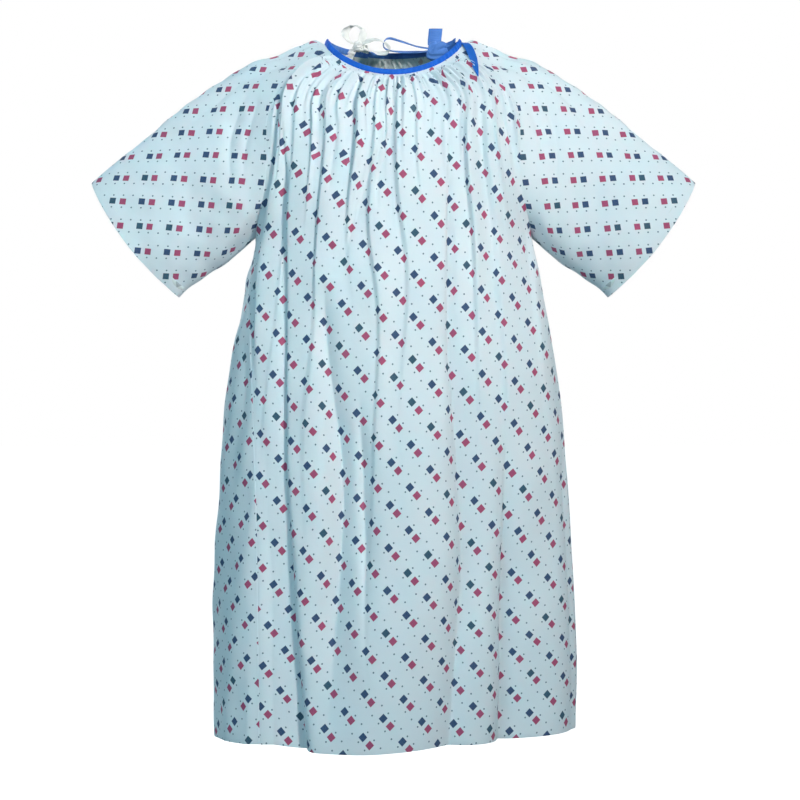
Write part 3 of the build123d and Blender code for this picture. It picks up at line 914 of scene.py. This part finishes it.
# ---------------------------------------------------------------- neck binding
def build_binding():
    """A folded strip round the neckline, thicker at its open lower edge, where it is sewn."""
    first, last = neck_angle_at(OUTER_EDGE_X), 360 + neck_angle_at(INNER_EDGE_X)
    angle = np.linspace(first, last, 420)[:, None]
    turn = np.radians(angle)
    out = np.concatenate([np.cos(turn), np.sin(turn), 0 * turn], axis=-1)
    under = ease((angle - BINDING_DIP_START) / BINDING_DIP)
    edge = neck_point(angle[:, 0], LAYER_STEP * under[:, 0])
    around = np.radians(np.linspace(0, 360, 17))[None, :, None]
    pucker = 0.00035 * np.sin(turn * 74) + 0.0002 * np.sin(turn * 31 + 1)
    half_height, half_depth = BINDING_WIDTH / 2 + BINDING_LIP / 2, BINDING_THICKNESS / 2
    high = np.sign(np.cos(around)) * np.abs(np.cos(around)) ** 0.8 * half_height
    deep = np.sign(np.sin(around)) * np.abs(np.sin(around)) ** 0.7 * half_depth
    deep = deep * (1.0 - 0.18 * high / half_height)
    rise = half_height - BINDING_LIP + high
    middle = edge[:, None] + np.array([0, 0, BINDING_UP]) * rise - out[:, None] * (BINDING_IN * rise)
    points = middle + out[:, None] * (deep + pucker[:, None])
    length = np.cumsum(np.linalg.norm(np.gradient(edge, axis=0), axis=-1))[:, None] + 0 * around[0, :, 0]
    print_at = np.stack([length, high[..., 0] + 0 * length], axis=-1)
    piece = grid_mesh("neck_binding_strip", points, print_at, (BINDING_BLUE, BINDING_PALE))
    front = points[..., 1] < 0.012
    for polygon in piece.data.polygons:
        column = polygon.vertices[0] // points.shape[1]
        polygon.material_index = 0 if front[column].mean() > 0.5 else 1
    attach(piece, "body")
    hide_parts("neck_binding")


# ---------------------------------------------------------------- ties
MM = 0.001
NECK_KNOT_CENTRE = (74, 28, -6)
NECK_KNOT_SIZE = (36, 14, 31)
INNER_KNOT_CENTRE = (-61, 42, 5)
INNER_KNOT_SIZE = (14, 10, 14)
KNOT_POWER = 0.75              # under 1, its outline is squarer than an ellipse
KNOT_CREASE = 0.0024           # depth in metres of its creases, which fan out from one side
KNOT_FAN = 8
KNOT_WAIST = 0.18              # how far the band round it pulls it in
# points along the middle of each strip, in millimetres
NECK_LOOP = [
    (60, 29, 0), (36, 36, 6), (12, 41, 15), (-8, 42, 20), (-17, 42, 14),
    (-17, 42, 4), (-8, 42, -2), (14, 41, -5), (38, 36, -6), (60, 29, -6),
]
NECK_UPRIGHT = [(69, 31, 6), (69, 32, 14), (70, 33, 24), (71, 33, 34)]
NECK_STRAP = [(84, 26, 2), (92, 23, 5), (99, 17, 7), (104, 9, 9)]
INNER_UPPER = [
    (-66, 42, 9), (-78, 42, 18), (-81, 42, 30), (-72, 42, 39),
    (-60, 42, 39), (-52, 42, 31), (-54, 42, 18), (-59, 42, 9),
]
INNER_LOWER = [
    (-56, 42, 7), (-42, 38, 14), (-26, 33, 14), (-12, 28, 6),
    (-7, 27, -3), (-14, 28, -8), (-30, 33, -6), (-44, 38, 0), (-56, 42, 3),
]
INNER_TAIL = [(-66, 41, 1), (-71, 43, -5), (-75, 46, -12), (-78, 50, -20)]
INNER_STRAP = [(-56, 41, 3), (-52, 42, 2), (-48, 43, 1), (-43, 44, 0)]
LOOP_ACROSS = (0, 0.93, 0.36)  # each strip's width lies along one of these directions
UPPER_ACROSS = (0.8, 0.6, 0)
LOWER_ACROSS = (0, 0.85, 0.53)
TAIL_ACROSS = (1, 0.25, 0.1)

# the tail as seen from the front, x and z: it hangs over the shoulder and lies on the cloth
TAIL_LINE = [(104, 5), (112, 4), (119, -2), (126, -16), (131, -34), (134, -52), (137, -68)]
TAIL_WIDTHS = (8, 11, 13, 14, 13, 9, 2)
TAIL_PROUD = 2.5
TAIL_REACH = 6                 # the cloth is felt for this far each side of the line
IN_FRONT_Y = -0.4


def ribbon(name, node, line, across, widths, material, thickness=1.1,
           crumple=0.4):
    """A flat strip of cloth along a line of points, with one width or a width at each point."""
    line = np.array(line, float) * MM
    steps = 14 * len(line)
    keys = np.linspace(0, 1, len(line))
    middle = smooth(np.column_stack([keys, line]), np.linspace(0, 1, steps))
    across = np.array(across, float)
    across = across / np.linalg.norm(across)
    widths = np.interp(np.linspace(0, 1, steps), keys, np.ones(len(line)) * widths) * MM
    places = np.linspace(-0.5, 0.5, 9)
    tangent = np.gradient(middle, axis=0)
    tangent = tangent / np.linalg.norm(tangent, axis=-1, keepdims=True)
    normal = np.cross(tangent, across)
    normal = normal / np.linalg.norm(normal, axis=-1, keepdims=True)
    curl = (places**2)[None, :, None] * 0.10 * widths[:, None, None]
    run = np.linspace(0, 1, steps)[:, None]
    crinkle = np.sin(17 * run) * places * 2 + 0.6 * np.sin(39 * run + 2) * np.sin(5 * places + 9 * run)
    ripple = crumple * MM * crinkle[..., None]
    points = (
        middle[:, None]
        + across * (widths[:, None, None] * places[None, :, None])
        + normal[:, None] * (curl + ripple)
    )
    length = np.cumsum(np.linalg.norm(np.gradient(middle, axis=0), axis=-1))[:, None]
    print_at = np.stack([length + 0 * places, widths[:, None] * places], axis=-1)
    piece = grid_mesh(name, points, print_at, (material,))
    thicken(piece, thickness * MM)
    bevel = piece.modifiers.new("edges", "BEVEL")
    bevel.width = 0.25 * thickness * MM
    bevel.segments = 2
    bevel.limit_method = "ANGLE"
    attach(piece, "body")
    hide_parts(node)


def knot(name, node, centre, size, material):
    """A tied knot: a rounded block wrapped by a band, creased where the strips cross."""
    around, rows = 48, 30
    a = np.linspace(0, 2 * np.pi, around)[:, None]
    b = np.linspace(0.04, np.pi - 0.04, rows)[None, :]
    box = np.array(size) * MM / 2

    def squarish(value):
        return np.sign(value) * np.abs(value) ** KNOT_POWER

    points = np.stack([
        squarish(np.sin(b) * np.cos(a)) * box[0],
        squarish(np.sin(b) * np.sin(a)) * box[1],
        squarish(np.cos(b)) * box[2] + 0 * a,
    ], axis=-1)
    turn = np.arctan2(points[..., 2] + 0.5 * box[2], points[..., 0] + 1.3 * box[0])
    creases = KNOT_CREASE * (1 - 2 * np.exp(-(np.sin(KNOT_FAN * turn) / 0.35) ** 2))
    waist = 1 - KNOT_WAIST * np.exp(-((points[..., 2] - 0.25 * box[2]) / (0.35 * box[2])) ** 2)
    points = points * waist[..., None]
    points = points + points / np.linalg.norm(points, axis=-1, keepdims=True) * creases[..., None]
    print_at = np.stack([a * 0.01 + 0 * b, b * 0.01 + 0 * a], axis=-1)
    piece = grid_mesh(name, points + np.array(centre) * MM, print_at, (material,))
    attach(piece, "body")
    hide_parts(node)


def surface_of(piece):
    mesh = piece.data
    places = [vertex.co for vertex in mesh.vertices]
    return BVHTree.FromPolygons(places, [polygon.vertices for polygon in mesh.polygons])


def tail_on_cloth(cloths):
    """The tail's line, laid on the cloth behind it."""
    trees = [surface_of(cloth) for cloth in cloths]
    line = []
    for x, z in TAIL_LINE:
        y = NECK_STRAP[-1][1]
        for dx in (-TAIL_REACH, 0, TAIL_REACH):
            for tree in trees:
                hit = tree.ray_cast(((x + dx) * MM, IN_FRONT_Y, z * MM), (0, 1, 0))[0]
                if hit is not None:
                    y = min(y, hit[1] / MM - TAIL_PROUD)
        line.append((x, y, z))
    return line


def build_ties(cloths):
    wide, up = (1, 0, 0), (0, 0, 1)
    knot("neck_bow_knot", "neck_tie_knot", NECK_KNOT_CENTRE, NECK_KNOT_SIZE, BINDING_PALE)
    ribbon("neck_bow_loop", "neck_tie_loop", NECK_LOOP, LOOP_ACROSS, 14, BINDING_PALE)
    ribbon("neck_bow_upright", "neck_tie_upright", NECK_UPRIGHT, wide, 23, BINDING_PALE, 1.6)
    ribbon("neck_bow_strap", "neck_tie_strap", NECK_STRAP, up, (9, 8, 8, 9), BINDING_PALE)
    ribbon("neck_bow_tail", "neck_tie_tail", tail_on_cloth(cloths), TAIL_ACROSS, TAIL_WIDTHS,
           TAIL_BLUE, 1.0)
    knot("inner_bow_knot", "inner_tie_knot", INNER_KNOT_CENTRE, INNER_KNOT_SIZE, WHITE_TAPE)
    for word, line, across in (
        ("upper_loop", INNER_UPPER, UPPER_ACROSS), ("lower_loop", INNER_LOWER, LOWER_ACROSS),
        ("tail", INNER_TAIL, wide), ("strap", INNER_STRAP, up),
    ):
        ribbon(f"inner_bow_{word}", f"inner_tie_{word}", line, across, 14, WHITE_TAPE, 0.6,
               1.3)


# ---------------------------------------------------------------- stage and lights
FLOOR_Z = -1.45
FLOOR_SIZE = 60.0
FLOOR_GLOW = 0.98          # only the camera sees the floor's own light
WORLD_LIGHT = 0.33         # pale blue light from all round; the camera sees plain white
WORLD_TINT = (0.46, 0.82, 1.0, 1)
# name, place, aim, size, power, colour and spread in degrees
LIGHTS = [
    ("key", (3.0, -5.4, 2.0), (-0.08, 0, -0.26), 0.8, 9.3, (1.0, 0.97, 0.93), 29),
    ("fill", (-2.4, -3.9, 0.5), (0, 0, -0.4), 1.8, 54, (0.52, 0.88, 1.0), 180),
    ("top", (0.3, -1.6, 1.3), (0, 0, -0.1), 0.6, 3, (1, 1, 1), 180),
    ("behind", (-1.7, 3.0, 1.2), (0, 0, -0.5), 1.2, 85, (1, 1, 1), 180),
]


def build_stage():
    nodes = material_nodes("floor")
    seen = nodes.add("ShaderNodeLightPath")
    shader = nodes.add("ShaderNodeBsdfPrincipled", {
        "Base Color": (0.35, 0.35, 0.35, 1), "Roughness": 0.9, "Emission Color": (1, 1, 1, 1),
        "Emission Strength": nodes.math("MULTIPLY", seen, FLOOR_GLOW),
    })
    half = FLOOR_SIZE / 2
    mesh = bpy.data.meshes.new("floor")
    corners = [(half * x, half * y, FLOOR_Z) for x, y in ((-1, -1), (1, -1), (1, 1), (-1, 1))]
    mesh.from_pydata(corners, [], [(0, 1, 2, 3)])
    link("floor", mesh, [nodes.show(shader)])


def area_light(name, place, aim, size, power, colour, spread):
    data = bpy.data.lights.new(name, "AREA")
    data.shape = "SQUARE"
    data.size = size
    data.energy = power
    data.color = colour
    data.spread = math.radians(spread)
    light = bpy.data.objects.new(name, data)
    light.location = place
    direction = np.array(aim, float) - np.array(place, float)
    yaw = math.atan2(direction[0], -direction[1])
    pitch = math.atan2(math.hypot(direction[0], direction[1]), -direction[2])
    light.rotation_euler = (pitch, 0, yaw + math.pi)
    bpy.context.collection.objects.link(light)


def build_light():
    scene = bpy.context.scene
    scene.view_settings.view_transform = "Standard"
    scene.world = bpy.data.worlds.new("studio")
    nodes = Nodes(scene.world, "ShaderNodeOutputWorld")
    seen = nodes.add("ShaderNodeLightPath")
    strength = nodes.add("ShaderNodeMapRange", {"Value": seen, "To Min": WORLD_LIGHT, "To Max": 1.0})
    colour = nodes.mix(seen, WORLD_TINT, (1, 1, 1, 1))
    nodes.show(nodes.add("ShaderNodeBackground", {"Color": colour, "Strength": strength}))
    for light in LIGHTS:
        area_light(*light)


front = build_front()
build_backs()
left_sleeve = build_sleeves()
build_binding()
build_ties([front, left_sleeve])
build_stage()
build_light()
